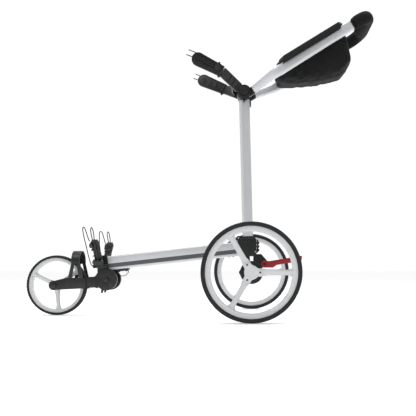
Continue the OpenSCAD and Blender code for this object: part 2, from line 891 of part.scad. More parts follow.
// A saddle arch on four splayed legs; the bag's base sits on its flat crown.
module base_rest() {
    crown_z = rest_z + 1 - rest_r;
    color("#3c3e42") {
        translate([rest_x - 14, 0, 0]) rotate([90, 0, 90]) linear_extrude(28) difference() {
            union() {
                translate([0, crown_z]) circle(rest_r);
                translate([-rest_r, crown_z - 8]) square([2 * rest_r, 8]);
            }
            translate([0, crown_z]) circle(rest_r - rest_t);
            translate([rest_t - rest_r, crown_z - 50]) square([2 * (rest_r - rest_t), 50]);
            translate([-rest_r, crown_z - 60]) square([2 * rest_r, 52]);
            translate([-50, rest_z]) square([100, 10]);
        }
        both([rest_x, 0], rest_r - rest_t, rest_r) for (s = [-1, 1])
            polygon([[s * 14, crown_z - 8], [s * 3, crown_z - 8], [s * 12, leg_foot_z],
                [s * 25, leg_foot_z]]);
    }
}

// ---------- Wheels ----------

// A triangle with its corners rounded off by one circle.
module rounded_triangle(inner, outer) {
    intersection() {
        rotate(60) circle(outer);
        polygon([for (k = [0 : 2]) 2 * inner * [cos(120 * k), sin(120 * k)]]);
    }
}

module tyre_section(r, w, deep) {
    h = w / 2;
    inner = r - deep;
    polygon([[inner, -h + 5.5], [inner, h - 5.5], [inner + 3, h - 1], [r - 6.5, h], [r - 2, h - 2.5],
        [r, h - 8], [r, 8 - h], [r - 2, 2.5 - h], [r - 6.5, -h], [inner + 3, 1 - h]]);
}

module tyre(r, w, deep) {
    color(rubber) rotate_extrude($fn = 128) tyre_section(r, w, deep);
}

// A moulded rim: a flanged ring, three flared spokes and a bored hub. z points outward.
module rim(r, w, deep, turn, hub_r, bore_r, hub_low, hub_high, s) {
    out = r - deep;
    in = out - ring_w * s;
    half = w / 2 - 5.5;
    color(silver) difference() {
        union() {
            rotate(turn + 60) rotate_extrude($fn = 128) polygon([[in, -half + 3], [in, half - 3], [in + 2, half],
                [out, half], [out, -half], [in + 2, -half]]);
            for (k = [0 : 2]) rotate(turn + 120 * k) {
                translate([0, 0, -3]) linear_extrude(8) polygon([[16 * s, 12 * s],
                    [30 * s, 12 * s], [46 * s, 8.5 * s], [in - 14, 8 * s], [in + 2, 14 * s],
                    [in + 2, -14 * s], [in - 14, -8 * s], [46 * s, -8.5 * s], [30 * s, -12 * s],
                    [16 * s, -12 * s]]);
                translate([0, 0, 4.9]) linear_extrude(3.9) polygon([[18 * s, 8 * s],
                    [in + 1, 5 * s], [in + 1, -5 * s], [18 * s, -8 * s]]);
            }
            rotate(turn + 60) translate([0, 0, -3.5]) cylinder(r = 21.5 * s, h = 9);
            rotate(turn + 60) translate([0, 0, hub_low])
                cylinder(r = hub_r, h = hub_high - hub_low);
        }
        translate([0, 0, hub_low - 1]) cylinder(r = bore_r, h = 22 - hub_low);
    }
}

// Bearings, the triangular cover and its three screws.
module hub_set(turn, s, bore_r, shaft_r, low, high) {
    color("#a7aaae") for (z = [low, high - 7]) translate([0, 0, z]) difference() {
        cylinder(r = bore_r, h = 7);
        translate([0, 0, -1]) cylinder(r = shaft_r, h = 9);
    }
    color(silver) translate([0, 0, 9]) linear_extrude(3.5)
        rotate(turn) rounded_triangle(20 * s, 31 * s);
    color("#2a2b2e") for (k = [0 : 2]) rotate(turn + 120 * k)
        translate([25 * s, 0, 12.5]) cylinder(r = 2.2, h = 0.8);
}

module left_rear() {
    translate([rear_axle.x, tyre_w / 2 - track_w / 2, rear_axle.y]) rotate([90, 0, 0]) children();
}
module at_front() {
    translate([front_axle_at.x, 0, front_axle_at.y]) rotate([90, 0, 0]) children();
}

module rear_tyre_left() {
    left_rear() tyre(rear_r, tyre_w, rear_rim_depth);
}
module rear_tyre_right() {
    flip() left_rear() tyre(rear_r, tyre_w, rear_rim_depth);
}
module front_tyre() {
    at_front() tyre(front_r, front_tyre_w, front_rim_depth);
}
module rear_rim_left() {
    left_rear() rim(rear_r, tyre_w, rear_rim_depth, 0, 17, bearing_r, -tyre_w / 2, 9, 1);
}
module rear_rim_right() {
    flip() left_rear() rim(rear_r, tyre_w, rear_rim_depth, 0, 17, bearing_r, -tyre_w / 2, 9, 1);
}
module front_rim() {
    at_front() rim(front_r, front_tyre_w, front_rim_depth, 34, 15, 10, -18, 18, 0.72);
}
module rear_hub_left() {
    left_rear() hub_set(0, 1, bearing_r, axle_r, -tyre_w / 2, 9);
}
module rear_hub_right() {
    flip() left_rear() hub_set(0, 1, bearing_r, axle_r, -tyre_w / 2, 9);
}
module front_hub() {
    at_front() {
        color("#a7aaae") for (z = [-18, 11]) translate([0, 0, z]) difference() {
            cylinder(r = 10, h = 7);
            translate([0, 0, -1]) cylinder(r = 5, h = 9);
        }
    }
}

// The disc behind each rear hub that the brake pin presses on.
disc_face = -8.2;
disc_back = -3.5;
module brake_ring() {
    color(black) left_rear() difference() {
        union() {
            translate([0, 0, disc_face]) cylinder(r = brake_r + 4.5, h = 3);
            translate([0, 0, disc_face + 1]) cylinder(r = brake_r + 2, h = disc_back - disc_face - 1);
        }
        translate([0, 0, -15]) cylinder(r = 17, h = 14);
    }
}
module brake_ring_left() {
    brake_ring();
}
module brake_ring_right() {
    flip() brake_ring();
}

// ---------- Controls ----------

pedal_y = -30;

// The foot pedal: an eye on its pin, a stepped arm and a raised toe piece.
module brake_pedal() {
    color(red) difference() {
        side([0, 0], pedal_y, pedal_y + 11) {
            translate(pedal_at) circle(12);
            polygon([[224, 162], [252, 162], [266, 171], [346, 184], [349, 187], [349, 199],
                [345, 201], [300, 194], [240, 184], [224, 186]]);
        }
        bar(pedal_at, 4, pedal_y - 1, pedal_y + 20);
    }
    color(red) side([0, 0], pedal_y - 16, pedal_y + 27)
        polygon([[312, 186], [348, 192], [349, 200], [345, 201.5], [312, 196.5]]);
    color("#232427") bar(pedal_at, 4, pedal_y - 1.5, pedal_y + 11);
    color("#232427") bar(pedal_at, pin_r + 1 - fit, pedal_y + 11, 22);
}

module brake_pin() {
    color("#8d9094") bar(pin_at, 4 - fit, -hub_in + 1, -beam_end);
}
module brake_pin_left() {
    brake_pin();
}
module brake_pin_right() {
    flip() brake_pin();
}

// The sprung grip plate at the back of the joint block, with a wavy thumb face.
module column_latch() {
    color("#2e2f32") difference() {
        union() {
            bar(latch_at, 5.5, -15.5, 15.5);
            side([0, 0], -15.5, 15.5) {
                polygon([[198, 216], [203, 216], [203, 257], [198, 257]]);
                translate([193.5, 213]) square([8, 6]);
                for (z = [222, 234, 246]) translate([202, z]) circle(5);
            }
        }
        bar(latch_at, pin_r + fit, -60, 60);
    }
}

// ---------- Assembly ----------

main_tube();
tube_inlays();
front_bracket();
catch_plate();
fork_pivot_pin();
rear_block();
axle_bracket();
axle_beam();
axle_housings();
axle_shafts();
hinge_pins();
frame_screws();
column_tube();
column_foot();
head_left();
head_right();
head_pin();
head_caps();
knuckle_left();
knuckle_right();
handle_tube_left();
handle_tube_right();
console_tray();
console_lid();
grip_core();
grip_foam();
pouch();
upper_base();
upper_wing_left();
upper_wing_right();
upper_cord_left();
upper_cord_right();
lower_wing_left();
lower_wing_right();
lower_cord_left();
lower_cord_right();
lower_loop_left();
lower_loop_right();
fork_left();
fork_right();
front_axle();
base_rest();
fork_release();
brake_pedal();
brake_pin_left();
brake_pin_right();
catch_bail();
column_latch();
rear_tyre_left();
rear_tyre_right();
front_tyre();
rear_rim_left();
rear_rim_right();
front_rim();
brake_ring_left();
brake_ring_right();
rear_hub_left();
rear_hub_right();
front_hub();
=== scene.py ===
"""Golf push trolley: materials, soft goods, cords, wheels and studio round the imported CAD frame."""
import json
import math

import bmesh
import bpy
import numpy as np
from mathutils import Matrix, Vector

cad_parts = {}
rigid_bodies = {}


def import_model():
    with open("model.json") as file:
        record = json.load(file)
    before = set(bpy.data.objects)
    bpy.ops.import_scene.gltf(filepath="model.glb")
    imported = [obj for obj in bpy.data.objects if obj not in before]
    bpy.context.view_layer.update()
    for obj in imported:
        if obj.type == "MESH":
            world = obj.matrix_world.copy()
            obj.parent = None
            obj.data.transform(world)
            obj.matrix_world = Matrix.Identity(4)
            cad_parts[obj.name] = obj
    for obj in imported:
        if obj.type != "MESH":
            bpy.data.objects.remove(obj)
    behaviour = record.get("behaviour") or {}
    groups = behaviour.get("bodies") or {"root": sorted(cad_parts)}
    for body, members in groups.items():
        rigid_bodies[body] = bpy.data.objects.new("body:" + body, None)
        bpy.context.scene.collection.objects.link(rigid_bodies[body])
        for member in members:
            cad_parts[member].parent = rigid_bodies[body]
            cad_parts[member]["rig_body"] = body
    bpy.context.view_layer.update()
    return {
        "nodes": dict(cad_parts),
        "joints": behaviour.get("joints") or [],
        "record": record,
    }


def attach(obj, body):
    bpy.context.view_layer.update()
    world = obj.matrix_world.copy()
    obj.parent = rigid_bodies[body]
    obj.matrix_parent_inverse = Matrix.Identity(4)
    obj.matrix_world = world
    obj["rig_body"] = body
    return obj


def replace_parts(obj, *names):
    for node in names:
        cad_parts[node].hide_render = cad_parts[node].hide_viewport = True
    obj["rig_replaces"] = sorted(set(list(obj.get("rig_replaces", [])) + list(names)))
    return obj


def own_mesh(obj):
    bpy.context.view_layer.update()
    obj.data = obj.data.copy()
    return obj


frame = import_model()
JOINTS = {j["name"]: j for j in frame["joints"]}
SLOTS = {s["node"]: s["material_slot"] for s in frame["record"]["subparts"]}

# ---------- Places, from the frame ----------

HEAD = Vector(JOINTS["handle_fold"]["pos_m"])
RISE = math.radians(31.5)
CRADLE_RISE = math.radians(146.4)


def tilted(origin, angle):
    """A frame whose x axis rises by angle in side view, as the CAD's local frames do."""
    return Matrix.Translation(origin) @ Matrix.Rotation(-angle, 4, "Y")


HANDLE = tilted(HEAD, RISE)
CRADLE = tilted(HEAD, CRADLE_RISE)

# Wheel sizes and places in millimetres, as the CAD has them.
REAR_X, REAR_Y, REAR_R = 180, 292.5, 147.5
REAR_WIDTH, REAR_DEPTH = 35, 13.5
FRONT_X, FRONT_R = -484, 102
FRONT_WIDTH, FRONT_DEPTH = 30, 9


def mm(*v):
    return Vector(v) / 1000


# ---------- Camera, floor and light ----------

def make_camera():
    """Near the height of the rear axle, square to the trolley's left side."""
    data = bpy.data.cameras.new("camera")
    data.lens = 47.86
    data.sensor_width = 36
    data.shift_x = -0.1038
    data.shift_y = 0.1454
    cam = bpy.data.objects.new("camera", data)
    cam.location = (0.179, -1.891, 0.159)
    cam.rotation_euler = (math.pi / 2, 0, 0)
    bpy.context.scene.collection.objects.link(cam)
    bpy.context.scene.camera = cam


def area_light(name, at, look, size, power, colour=(1, 1, 1)):
    data = bpy.data.lights.new(name, "AREA")
    data.shape = "RECTANGLE"
    data.size, data.size_y = size
    data.energy = power
    data.color = colour
    light = bpy.data.objects.new(name, data)
    light.location = at
    light.rotation_euler = (Vector(look) - Vector(at)).to_track_quat("-Z", "Y").to_euler()
    bpy.context.scene.collection.objects.link(light)


def make_studio():
    """A white floor and sky. The sky is dimmer on the camera's side, to keep black parts dark."""
    scene = bpy.context.scene
    scene.view_settings.view_transform = "Standard"
    world = bpy.data.worlds.new("studio")
    scene.world = world
    world.use_nodes = True
    tree = world.node_tree
    where = tree.nodes.new("ShaderNodeTexCoord").outputs["Generated"]
    tree.nodes["Background"].inputs["Color"].default_value = (1, 1, 1, 1)
    parts = tree.nodes.new("ShaderNodeSeparateXYZ")
    tree.links.new(where, parts.inputs[0])
    ramp = tree.nodes.new("ShaderNodeMapRange")
    ramp.inputs["From Min"].default_value = -0.35
    ramp.inputs["From Max"].default_value = 0.45
    ramp.inputs["To Min"].default_value = 0.38
    ramp.inputs["To Max"].default_value = 1.04
    tree.links.new(parts.outputs["Y"], ramp.inputs["Value"])
    tree.links.new(ramp.outputs["Result"], tree.nodes["Background"].inputs["Strength"])
    area_light("key", (-1.3, -1.7, 2.9), (0, 0, 0.4), (1.2, 1.2), 24)
    area_light("top", (0.3, 0.4, 3.0), (0, 0, 0.2), (2.4, 1.8), 40)
    area_light("back", (1.6, 2.4, 1.6), (0, 0, 0.4), (1.6, 1.6), 16)
    size = 30
    mesh = bpy.data.meshes.new("floor")
    mesh.from_pydata([(-size, -size, 0), (size, -size, 0), (size, size, 0), (-size, size, 0)], [],
                     [(0, 1, 2, 3)])
    floor = bpy.data.objects.new("floor", mesh)
    scene.collection.objects.link(floor)
    m = bpy.data.materials.new("floor")
    m.use_nodes = True
    bsdf = m.node_tree.nodes["Principled BSDF"]
    bsdf.inputs["Base Color"].default_value = (0.93, 0.93, 0.93, 1)
    bsdf.inputs["Roughness"].default_value = 0.9
    bsdf.inputs["Specular IOR Level"].default_value = 0
    bsdf.inputs["Emission Color"].default_value = (1, 1, 1, 1)
    bsdf.inputs["Emission Strength"].default_value = 0.32
    floor.data.materials.append(m)


make_camera()
make_studio()

# ---------- Materials ----------


class Recipe:
    """Builds one procedural material on a Principled shader."""

    def __init__(self, name, colour, roughness, **constants):
        self.m = bpy.data.materials.new(name)
        self.m.use_nodes = True
        self.t = self.m.node_tree
        self.shader = self.t.nodes["Principled BSDF"]
        self.colour = self.rgb(colour)
        self.set("Roughness", roughness)
        for key, value in constants.items():
            self.set(key.replace("_", " "), value)
        self.set("Base Color", self.colour)
        self.where = self.t.nodes.new("ShaderNodeTexCoord").outputs["Object"]
        self.normal = None

    def rgb(self, c, k=1.0):
        return tuple(min(1, v * k) for v in c) + (1,)

    def set(self, key, value):
        self.shader.inputs[key].default_value = value

    def link(self, a, b):
        self.t.links.new(a, b)

    def mapped(self, scale=(1, 1, 1), turn=(0, 0, 0)):
        n = self.t.nodes.new("ShaderNodeMapping")
        n.inputs["Scale"].default_value = scale
        n.inputs["Rotation"].default_value = turn
        self.link(self.where, n.inputs["Vector"])
        return n.outputs["Vector"]

    def noise(self, scale, detail=2, where=None, roughness=0.5):
        n = self.t.nodes.new("ShaderNodeTexNoise")
        n.inputs["Scale"].default_value = scale
        n.inputs["Detail"].default_value = detail
        n.inputs["Roughness"].default_value = roughness
        self.link(where or self.where, n.inputs["Vector"])
        return n.outputs["Fac"]

    def voronoi(self, scale, feature="F1"):
        n = self.t.nodes.new("ShaderNodeTexVoronoi")
        n.feature = feature
        n.inputs["Scale"].default_value = scale
        self.link(self.where, n.inputs["Vector"])
        return n.outputs["Distance"]

    def wave(self, scale, where, direction="X"):
        n = self.t.nodes.new("ShaderNodeTexWave")
        n.bands_direction = direction
        n.inputs["Scale"].default_value = scale
        self.link(where, n.inputs["Vector"])
        return n.outputs["Fac"]

    def math(self, kind, a, b):
        n = self.t.nodes.new("ShaderNodeMath")
        n.operation = kind
        for socket, value in zip(n.inputs, (a, b)):
            if isinstance(value, (int, float)):
                socket.default_value = value
            else:
                self.link(value, socket)
        return n.outputs[0]

    def spread(self, value, low, high, out=(0.0, 1.0)):
        n = self.t.nodes.new("ShaderNodeMapRange")
        n.inputs["From Min"].default_value = low
        n.inputs["From Max"].default_value = high
        n.inputs["To Min"].default_value = out[0]
        n.inputs["To Max"].default_value = out[1]
        self.link(value, n.inputs["Value"])
        return n.outputs["Result"]

    def tint(self, factor, other):
        """Mixes the colour so far with another by a factor."""
        n = self.t.nodes.new("ShaderNodeMix")
        n.data_type = "RGBA"
        self.link(factor, n.inputs["Factor"])
        if isinstance(self.colour, tuple):
            n.inputs["A"].default_value = self.colour
        else:
            self.link(self.colour, n.inputs["A"])
        n.inputs["B"].default_value = self.rgb(other)
        self.colour = n.outputs["Result"]
        self.link(self.colour, self.shader.inputs["Base Color"])

    def rough(self, value):
        self.link(value, self.shader.inputs["Roughness"])

    def bump(self, height, strength, distance):
        n = self.t.nodes.new("ShaderNodeBump")
        n.inputs["Strength"].default_value = strength
        n.inputs["Distance"].default_value = distance
        self.link(height, n.inputs["Height"])
        if self.normal:
            self.link(self.normal, n.inputs["Normal"])
        self.normal = n.outputs["Normal"]
        self.link(self.normal, self.shader.inputs["Normal"])

    def edges(self, other, low=0.52, high=0.6, share=1.0):
        """Lightens worn edges where the surface is convex."""
        n = self.t.nodes.new("ShaderNodeNewGeometry")
        worn = self.spread(n.outputs["Pointiness"], low, high, (0, share))
        self.tint(self.math("MULTIPLY", worn, self.noise(60, 3)), other)


def scaled(c, k):
    return tuple(v * k for v in c)


def painted_metal(name, colour):
    r = Recipe(name, colour, 0.32, Metallic=0.25, Coat_Weight=0.2, Coat_Roughness=0.2)
    r.tint(r.spread(r.noise(5, 2), 0.35, 0.7, (0, 0.3)), scaled(colour, 0.95))
    r.rough(r.spread(r.noise(90, 2), 0.3, 0.7, (0.29, 0.35)))
    r.bump(r.noise(1400, 2), 0.02, 0.0002)
    return r.m


def moulded(name, colour, roughness, grain=0.25, worn=None):
    r = Recipe(name, colour, roughness, Specular_IOR_Level=0.42)
    r.tint(r.spread(r.noise(14, 3), 0.35, 0.7, (0, 0.4)), scaled(colour, 1.06 if colour[1] > 0.3 else 1.3))
    if worn:
        r.edges(worn)
    r.rough(r.spread(r.noise(90, 3), 0.3, 0.7, (roughness - 0.06, roughness + 0.08)))
    r.bump(r.noise(1800, 3), grain, 0.0003)
    return r.m


def steel(name, colour):
    r = Recipe(name, colour, 0.3, Metallic=1.0)
    r.rough(r.spread(r.noise(500, 2, r.mapped((1, 0.05, 1))), 0.3, 0.7, (0.22, 0.42)))
    r.bump(r.noise(900, 2, r.mapped((1, 0.05, 1))), 0.1, 0.0002)
    return r.m


def tread_rubber(name, colour):
    r = Recipe(name, colour, 0.72, Specular_IOR_Level=0.25)
    r.tint(r.spread(r.noise(40, 5), 0.4, 0.75, (0, 0.6)), scaled(colour, 1.5))
    r.rough(r.spread(r.noise(120, 3), 0.3, 0.7, (0.62, 0.82)))
    r.bump(r.noise(900, 4), 0.35, 0.0004)
    return r.m


def foam(name, colour):
    r = Recipe(name, colour, 0.85, Specular_IOR_Level=0.2)
    r.tint(r.spread(r.noise(35, 4), 0.4, 0.7, (0, 0.6)), scaled(colour, 1.7))
    r.bump(r.voronoi(900), 0.4, 0.0005)
    r.bump(r.noise(260, 3), 0.2, 0.0006)
    return r.m


def woven(name, colour, turn, pitch=0.0011):
    """A plain weave: two crossed sets of ribs in the cloth's own plane."""
    r = Recipe(name, colour, 0.9, Sheen_Weight=0.06, Sheen_Roughness=0.5, Specular_IOR_Level=0.2)
    where = r.mapped((1, 1, 1), turn)
    scale = 0.314 / pitch
    warp = r.wave(scale, where, "X")
    weft = r.wave(scale, where, "Y")
    weave = r.math("MAXIMUM", warp, weft)
    r.tint(r.spread(weave, 0.3, 1.0, (0, 0.55)), scaled(colour, 2.0))
    r.tint(r.spread(r.noise(12, 4), 0.45, 0.75, (0, 0.35)), scaled(colour, 2.2))
    r.bump(weave, 0.5, 0.0004)
    r.bump(r.noise(70, 4), 0.25, 0.002)
    r.bump(r.noise(17, 2), 0.5, 0.012)
    return r.m


def braided(name, colour):
    r = Recipe(name, colour, 0.8, Sheen_Weight=0.06, Specular_IOR_Level=0.2)
    a = r.wave(260, r.mapped((1, 1, 1), (0.6, 0.7, 0)), "X")
    b = r.wave(260, r.mapped((1, 1, 1), (-0.6, -0.7, 0)), "Z")
    braid = r.math("MAXIMUM", a, b)
    r.tint(r.spread(braid, 0.4, 1.0, (0, 0.6)), scaled(colour, 2.5))
    r.bump(braid, 0.5, 0.0003)
    return r.m


SILVER = (0.60, 0.615, 0.635)
BLACK = (0.0065, 0.0067, 0.0074)
DARK = (0.0105, 0.0108, 0.0118)
MATERIALS = {
    "silver_tube": painted_metal("silver_tube", SILVER),
    "silver_plastic": moulded("silver_plastic", (0.66, 0.67, 0.68), 0.4, 0.04),
    "black_nylon": moulded("black_nylon", BLACK, 0.36, 0.16, (0.03, 0.03, 0.032)),
    "dark_nylon": moulded("dark_nylon", DARK, 0.34, 0.14, (0.05, 0.05, 0.053)),
    "inlay": moulded("inlay", (0.085, 0.088, 0.094), 0.45, 0.1),
    "steel": steel("steel", (0.42, 0.43, 0.44)),
    "dark_steel": steel("dark_steel", (0.05, 0.05, 0.055)),
    "tyre": tread_rubber("tyre", (0.020, 0.0205, 0.022)),
    "rubber": tread_rubber("rubber", (0.030, 0.031, 0.034)),
    "foam": foam("foam", (0.0065, 0.0065, 0.007)),
    "fabric": woven("fabric", (0.0055, 0.0055, 0.006), (0, RISE, 0)),
    "elastic": braided("elastic", (0.006, 0.006, 0.0065)),
    "red": moulded("red", (0.27, 0.010, 0.015), 0.36, 0.1, (0.45, 0.05, 0.05)),
}

# ---------- Mesh helpers ----------


def add_mesh(name, verts, faces, body, slot, replaces=(), material=None):
    mesh = bpy.data.meshes.new(name)
    mesh.from_pydata([tuple(v) for v in verts], [], faces)
    mesh.validate()
    return finish_piece(mesh, name, body, slot, replaces, material)


def finish_piece(mesh, name, body, slot, replaces=(), material=None):
    obj = bpy.data.objects.new(name, mesh)
    bpy.context.scene.collection.objects.link(obj)
    mesh.materials.clear()
    mesh.materials.append(material or MATERIALS[slot])
    for p in mesh.polygons:
        p.use_smooth = True
    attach(obj, body)
    if replaces:
        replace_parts(obj, *replaces)
    return obj


def soften(node, width=0.0006, segments=2, angle=28):
    """A copy of a CAD node with its sharp edges rounded, which stands for the node."""
    source = frame["nodes"][node]
    bm = bmesh.new()
    bm.from_mesh(source.data)
    bmesh.ops.remove_doubles(bm, verts=bm.verts, dist=1e-6)
    bmesh.ops.dissolve_limit(bm, angle_limit=math.radians(0.6), verts=bm.verts, edges=bm.edges)
    sharp = [
        e for e in bm.edges
        if len(e.link_faces) == 2 and e.calc_face_angle(0) > math.radians(angle)
    ]
    bmesh.ops.bevel(
        bm, geom=sharp, offset=width, offset_type="OFFSET", segments=segments, profile=0.7,
        affect="EDGES", clamp_overlap=True, miter_outer="ARC",
    )
    bmesh.ops.triangulate(bm, faces=[f for f in bm.faces if len(f.verts) > 4])
    mesh = bpy.data.meshes.new(node + "_piece")
    bm.to_mesh(mesh)
    bm.free()
    mesh.validate()
    look = MATERIALS[DARKER.get(node, SLOTS[node])]
    obj = finish_piece(mesh, node + "_piece", source["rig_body"], SLOTS[node], (node,), look)
    mesh.set_sharp_from_angle(angle=math.radians(35))
    return obj


class Kit:
    """Collects solid shapes in a local frame, in millimetres, and makes one mesh with rounded edges."""

    def __init__(self):
        self.bm = bmesh.new()

    def prism(self, outline, y1, y2, shrink=1.0):
        """A flat outline in (x, z), standing from y1 to y2, shrunk towards its middle at y2."""
        cx = sum(p[0] for p in outline) / len(outline)
        cz = sum(p[1] for p in outline) / len(outline)
        a = [self.bm.verts.new((x, y1, z)) for x, z in outline]
        b = [self.bm.verts.new((cx + (x - cx) * shrink, y2, cz + (z - cz) * shrink)) for x, z in outline]
        n = len(outline)
        self.bm.faces.new(a)
        self.bm.faces.new(b[::-1])
        for i in range(n):
            j = (i + 1) % n
            self.bm.faces.new((a[j], a[i], b[i], b[j]))

    def box(self, low, high):
        (x1, y1, z1), (x2, y2, z2) = low, high
        self.prism([(x1, z1), (x2, z1), (x2, z2), (x1, z2)], y1, y2)

    def rod(self, a, b, r, sides=24, r2=None):
        """A round bar or cone from a to b."""
        a, b = Vector(a), Vector(b)
        m = (b - a).to_track_quat("Z", "Y").to_matrix().to_4x4()
        m.translation = (a + b) / 2
        bmesh.ops.create_cone(
            self.bm, cap_ends=True, segments=sides, radius1=r, radius2=r if r2 is None else r2,
            depth=(b - a).length, matrix=m,
        )

    def dome(self, at, size):
        """A flattened ball with the half sizes given."""
        m = Matrix.Translation(at) @ Matrix.Diagonal((*size, 1))
        bmesh.ops.create_uvsphere(self.bm, u_segments=24, v_segments=12, radius=1, matrix=m)

    def bar(self, a, b, width, y1, y2, shrink=1.0):
        """A straight rib between two points of the (x, z) plane."""
        a, b = Vector(a), Vector(b)
        side = Vector((-(b - a).y, (b - a).x)).normalized() * width / 2
        self.prism([tuple(a + side), tuple(a - side), tuple(b - side), tuple(b + side)], y1, y2, shrink)

    def make(self, name, place, body, slot, replaces=(), width=0.6, mirror=False):
        bm = self.bm
        bmesh.ops.recalc_face_normals(bm, faces=bm.faces)
        if width:
            sharp = [
                e for e in bm.edges
                if len(e.link_faces) == 2 and e.calc_face_angle(0) > math.radians(28)
            ]
            bmesh.ops.bevel(
                bm, geom=sharp, offset=width, offset_type="OFFSET", segments=2, profile=0.7,
                affect="EDGES", clamp_overlap=True,
            )
        if mirror:
            place = Matrix.Diagonal((1, -1, 1, 1)) @ place
        bmesh.ops.transform(bm, matrix=place @ Matrix.Diagonal((0.001, 0.001, 0.001, 1)), verts=bm.verts)
        if mirror:
            bmesh.ops.reverse_faces(bm, faces=bm.faces)
        mesh = bpy.data.meshes.new(name)
        bm.to_mesh(mesh)
        bm.free()
        mesh.validate()
        obj = finish_piece(mesh, name, body, slot, replaces)
        mesh.set_sharp_from_angle(angle=math.radians(35))
        return obj


def arc(cx, cz, r, a1, a2, n):
    """Points along an arc, angles in degrees."""
    return [
        (cx + r * math.cos(math.radians(a1 + (a2 - a1) * i / n)),
         cz + r * math.sin(math.radians(a1 + (a2 - a1) * i / n)))
        for i in range(n + 1)
    ]


def curve_through(points, steps=8):
    """A smooth run of points through a list of points."""
    p = [Vector(v) for v in points]
    out = []
    for i in range(len(p) - 1):
        a, b, c, d = p[max(i - 1, 0)], p[i], p[i + 1], p[min(i + 2, len(p) - 1)]
        for k in range(steps):
            t = k / steps
            out.append(0.5 * ((2 * b) + (c - a) * t + (2 * a - 5 * b + 4 * c - d) * t * t
                              + (3 * b - a - 3 * c + d) * t ** 3))
    return out + [p[-1]]


def run_length(points):
    return sum((b - a).length for a, b in zip(points, points[1:]))


SIDES = (("left", False), ("right", True))
# Nodes drawn in a darker material than their slot's own.
DARKER = {"front_axle": "dark_steel", "brake_ring_left": "tyre", "brake_ring_right": "tyre"}


def elastic(name, route, body, node, mirror, radius=0.0015):
    """A braided elastic along a route in metres, in the row frame."""
    points = curve_through(route)
    if mirror:
        points = [Vector((p.x, -p.y, p.z)) for p in points]
    data = bpy.data.curves.new(name, "CURVE")
    data.dimensions = "3D"
    data.bevel_depth = radius
    data.bevel_resolution = 4
    data.use_fill_caps = True
    line = data.splines.new("POLY")
    line.points.add(len(points) - 1)
    for q, p in zip(line.points, points):
        q.co = (*p, 1)
    line.use_smooth = True
    obj = bpy.data.objects.new(name, data)
    bpy.context.scene.collection.objects.link(obj)
    data.materials.append(MATERIALS["elastic"])
    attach(obj, body)
    if node:
        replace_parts(obj, node)
    return obj


# ---------- Wheels ----------


def tyre_piece(node, centre, r, w, depth, blocks, body):
    """A tyre ring with three grooves round it and cut shoulder blocks."""
    h = w / 2
    inner = r - depth
    profile = [
        (inner, -h + 5.6), (inner + 0.7, -h + 2.6), (inner + 1.7, -h + 1.1), (r - 6.6, -h + 0.15),
        (r - 5, -h + 0.5), (r - 3.4, -h + 1.2), (r - 3.2, -h + 2.2), (r - 1.6, -h + 3.1),
        (r - 0.9, -h + 5.2), (r - 0.4, -6.2), (r - 1.5, -5.9), (r - 1.5, -4.6), (r - 0.15, -4.3),
        (r, -1.1), (r - 1.3, -0.8),
    ]
    profile += [(a, -b) for a, b in reversed(profile)]
    n = blocks * 4
    verts, faces = [], []
    m = len(profile)
    for i in range(n):
        a = 2 * math.pi * i / n
        cut = i % 4 == 0
        for k, (rr, y) in enumerate(profile):
            if cut and 7 <= min(k, m - 1 - k) <= 9:
                rr -= 1.1
            verts.append((centre[0] + rr * math.cos(a), centre[1] + y, centre[2] + rr * math.sin(a)))
    for i in range(n):
        j = (i + 1) % n
        for k in range(m):
            q = (k + 1) % m
            faces.append((i * m + k, i * m + q, j * m + q, j * m + k))
    obj = add_mesh(node + "_piece", [Vector(v) / 1000 for v in verts], faces, body, "tyre", (node,))
    obj.data.set_sharp_from_angle(angle=math.radians(38))
    return obj


for side, y in (("left", -REAR_Y), ("right", REAR_Y)):
    tyre_piece("rear_tyre_" + side, (REAR_X, y, REAR_R), REAR_R, REAR_WIDTH, REAR_DEPTH, 84,
               "rear_wheel_" + side[0])
tyre_piece("front_tyre", (FRONT_X, 0, FRONT_R), FRONT_R, FRONT_WIDTH, FRONT_DEPTH, 60, "front_wheel")


def screw_heads(side, mirror):
    """The dark heads of the three screws in the hub cover."""
    k = Kit()
    ring = 25
    for a in (0, 120, 240):
        x = REAR_X + ring * math.cos(math.radians(a))
        z = REAR_R + ring * math.sin(math.radians(a))
        k.rod((x, -305, z), (x, -306.3, z), 2.9, 20, 2.5)
    k.make("hub_screws_" + side, Matrix(), "rear_wheel_" + side[0], "dark_steel", (), 0.15, mirror)


for side, mirror in SIDES:
    screw_heads(side, mirror)

kit = Kit()
kit.rod((224, -31, 174), (224, -32.6, 174), 4.6, 28, 4.1)
kit.make("pedal_pin_cap", Matrix(), "pedal", "black_nylon", (), 0.3)

# ---------- Upper bag cradle ----------

WING = (CRADLE @ Matrix.Translation(mm(86, -89, 0)) @ Matrix.Rotation(math.radians(-7), 4, "Z")
        @ Matrix.Rotation(math.radians(-8.6), 4, "Y"))


def paddle(x1, x2, r1, r2, n=14):
    """The outline of the upper wing: narrow at its root and round at its tip."""
    t = math.asin((r2 - r1) / (x2 - x1))
    low = arc(x2, 0, r2, -90 + math.degrees(-t), 90 + math.degrees(t), n)
    return [(-2, -r1 * 0.93), *low, (-2, r1 * 0.93)]


